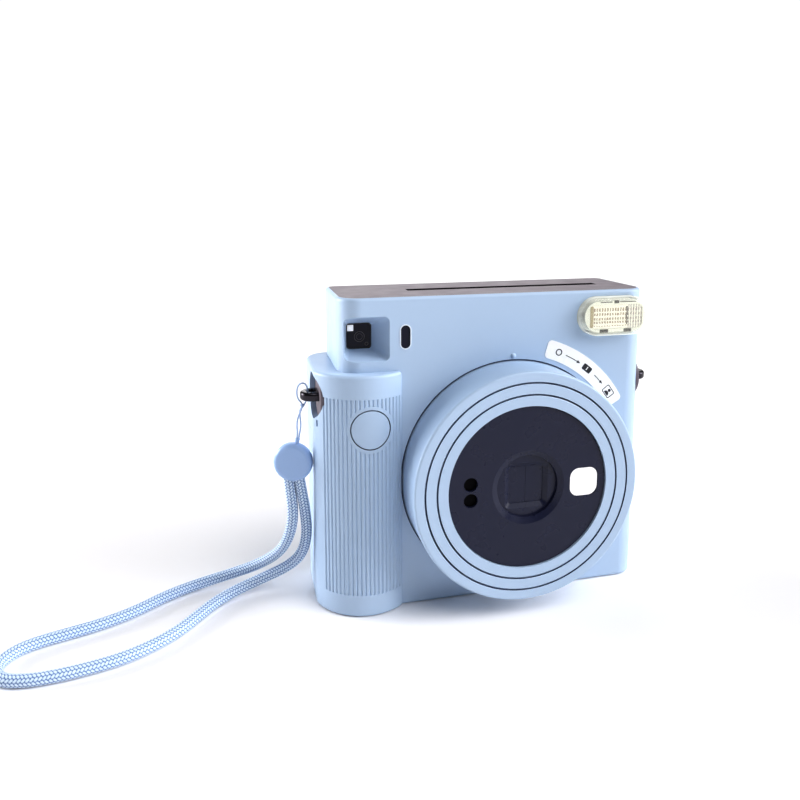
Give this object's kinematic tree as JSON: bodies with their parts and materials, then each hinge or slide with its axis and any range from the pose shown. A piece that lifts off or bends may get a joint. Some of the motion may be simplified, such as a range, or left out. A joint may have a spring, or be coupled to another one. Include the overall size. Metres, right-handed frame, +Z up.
{
  "type": "instant camera",
  "caption": "Square-format instant camera with a ribbed grip, turning lens ring, telescoping lens barrels, hinged back and wrist strap.",
  "frame": {"origin": "bottom centre of the camera's box, its two strap lugs included and its strap left out", "axes": "+X to the camera's right seen from the front, +Y from the lens to the back, +Z up"},
  "size_m": [0.246, 0.0582, 0.1186],
  "materials": {
    "body_blue": "pale blue satin moulded plastic",
    "ring_blue": "pale blue satin moulded plastic",
    "top_taupe": "mauve grey satin moulded plastic",
    "black_plastic": "black moulded plastic",
    "face_black": "blue black satin face",
    "dark_metal": "gunmetal lacquer",
    "steel": "plain steel",
    "mirror": "domed mirror",
    "clear": "clear plastic",
    "smoked": "smoked window",
    "flash_clear": "clear flash cover",
    "label_white": "printed label",
    "board_green": "circuit board",
    "gear_white": "natural acetal",
    "rubber_black": "soft rubber or foam",
    "can_metal": "bright can",
    "tag_blue": "pale blue bead",
    "strap_blue": "braided cord"
  },
  "bodies": {
    "camera_body": {"front_cover": "body_blue", "rear_cover": "body_blue", "grip_cover": "body_blue", "top_cover": "top_taupe", "dial_label": "label_white", "ring_retainer": "black_plastic", "guide_rods": "steel", "light_tunnel": "black_plastic", "chassis": "black_plastic", "light_seal": "rubber_black", "film_pack": "black_plastic", "roller_bracket": "steel", "film_motor": "can_metal", "door_hinge_pin": "steel", "viewfinder_window": "smoked", "viewfinder_tube": "black_plastic", "viewfinder_objective": "clear", "viewfinder_eyepiece": "clear", "eyecup": "rubber_black", "metering_window": "smoked", "flash_cover": "flash_clear", "flash_reflector": "can_metal", "flash_tube": "clear", "flash_capacitor": "can_metal", "main_board": "board_green", "button_spring": "steel", "release_board": "board_green", "battery_holder": "black_plastic", "batteries": "can_metal", "battery_contacts": "steel", "lug_plates": "top_taupe", "strap_lug_left": "dark_metal", "strap_lug_right": "dark_metal", "case_screws": "dark_metal", "strap_loop": "strap_blue", "strap_tag": "tag_blue", "strap_cord": "strap_blue"},
    "lens_ring": {"lens_ring": "ring_blue"},
    "middle_barrel": {"middle_barrel": "ring_blue"},
    "inner_barrel": {"inner_barrel": "ring_blue", "face_plate": "face_black", "selfie_mirror": "mirror", "sensor_windows": "smoked", "lens_mount": "black_plastic", "front_lens": "clear", "rear_lens": "clear"},
    "blade_left": {"cover_blade_left": "face_black"},
    "blade_right": {"cover_blade_right": "face_black"},
    "shutter_blade": {"shutter_blade": "black_plastic"},
    "shutter_button": {"shutter_button": "body_blue"},
    "back_door": {"back_door": "body_blue", "film_windows": "smoked", "pressure_springs": "steel"},
    "door_latch": {"door_latch": "top_taupe"},
    "battery_cover": {"battery_cover": "body_blue"},
    "front_roller": {"front_roller": "steel"},
    "rear_roller": {"rear_roller": "steel"},
    "idler_gear": {"idler_gear": "gear_white"},
    "motor_pinion": {"motor_pinion": "gear_white"},
    "film_claw": {"film_claw": "steel"}
  },
  "joints": [
    {"name": "lens_ring_turn", "type": "hinge", "parent": "camera_body", "child": "lens_ring", "pos_m": [0.00855, -0.01145, 0.04956], "axis": [0, 1, 0], "range_deg": [0, 70]},
    {"name": "middle_barrel_slide", "type": "slide", "parent": "camera_body", "child": "middle_barrel", "axis": [0, -1, 0], "range_m": [0, 0.007]},
    {"name": "inner_barrel_slide", "type": "slide", "parent": "camera_body", "child": "inner_barrel", "axis": [0, -1, 0], "range_m": [0, 0.014]},
    {"name": "blade_left_slide", "type": "slide", "parent": "inner_barrel", "child": "blade_left", "axis": [-1, 0, 0], "range_m": [0, 0.0072]},
    {"name": "blade_right_slide", "type": "slide", "parent": "inner_barrel", "child": "blade_right", "axis": [1, 0, 0], "range_m": [0, 0.0072]},
    {"name": "shutter_swing", "type": "hinge", "parent": "inner_barrel", "child": "shutter_blade", "pos_m": [0.02155, -0.01955, 0.04956], "axis": [0, 1, 0], "range_deg": [0, 55], "stiffness_Nm_per_rad": 0.0005, "springref_deg": -17.19},
    {"name": "shutter_press", "type": "slide", "parent": "camera_body", "child": "shutter_button", "axis": [0, 1, 0], "range_m": [0, 0.0012], "stiffness_N_per_m": 800, "springref_m": -0.001, "deforming": ["button_spring"]},
    {"name": "back_door_swing", "type": "hinge", "parent": "camera_body", "child": "back_door", "pos_m": [0.05975, 0.02655, 0.05], "axis": [0, 0, -1], "range_deg": [0, 105]},
    {"name": "door_latch_slide", "type": "slide", "parent": "camera_body", "child": "door_latch", "axis": [0, 0, -1], "range_m": [0, 0.003], "stiffness_N_per_m": 150, "springref_m": -0.004},
    {"name": "battery_cover_swing", "type": "hinge", "parent": "camera_body", "child": "battery_cover", "pos_m": [-0.06445, 0.02195, 0.037], "axis": [0, 0, -1], "range_deg": [0, 95]},
    {"name": "front_roller_spin", "type": "hinge", "parent": "camera_body", "child": "front_roller", "pos_m": [0.00855, 0.00445, 0.109], "axis": [1, 0, 0], "continuous": true},
    {"name": "rear_roller_spin", "type": "hinge", "parent": "camera_body", "child": "rear_roller", "pos_m": [0.00855, 0.01165, 0.109], "axis": [1, 0, 0], "continuous": true},
    {"name": "idler_spin", "type": "hinge", "parent": "camera_body", "child": "idler_gear", "pos_m": [0.05655, 0.00455, 0.098], "axis": [1, 0, 0], "continuous": true},
    {"name": "pinion_spin", "type": "hinge", "parent": "camera_body", "child": "motor_pinion", "pos_m": [0.05655, -0.00245, 0.0953], "axis": [1, 0, 0], "continuous": true},
    {"name": "film_claw_slide", "type": "slide", "parent": "camera_body", "child": "film_claw", "axis": [0, 0, 1], "range_m": [0, 0.008], "stiffness_N_per_m": 20, "springref_m": -0.005}
  ],
  "couplings": [
    {"joint": "middle_barrel_slide", "follows": "lens_ring_turn", "m_per_rad": 0.0057214},
    {"joint": "inner_barrel_slide", "follows": "lens_ring_turn", "m_per_rad": 0.011451},
    {"joint": "blade_left_slide", "follows": "lens_ring_turn", "m_per_rad": 0.0058851},
    {"joint": "blade_right_slide", "follows": "lens_ring_turn", "m_per_rad": 0.0058851},
    {"joint": "rear_roller_spin", "follows": "front_roller_spin", "ratio": -1},
    {"joint": "idler_spin", "follows": "front_roller_spin", "ratio": -1.2},
    {"joint": "pinion_spin", "follows": "front_roller_spin", "ratio": 2.4}
  ]
}
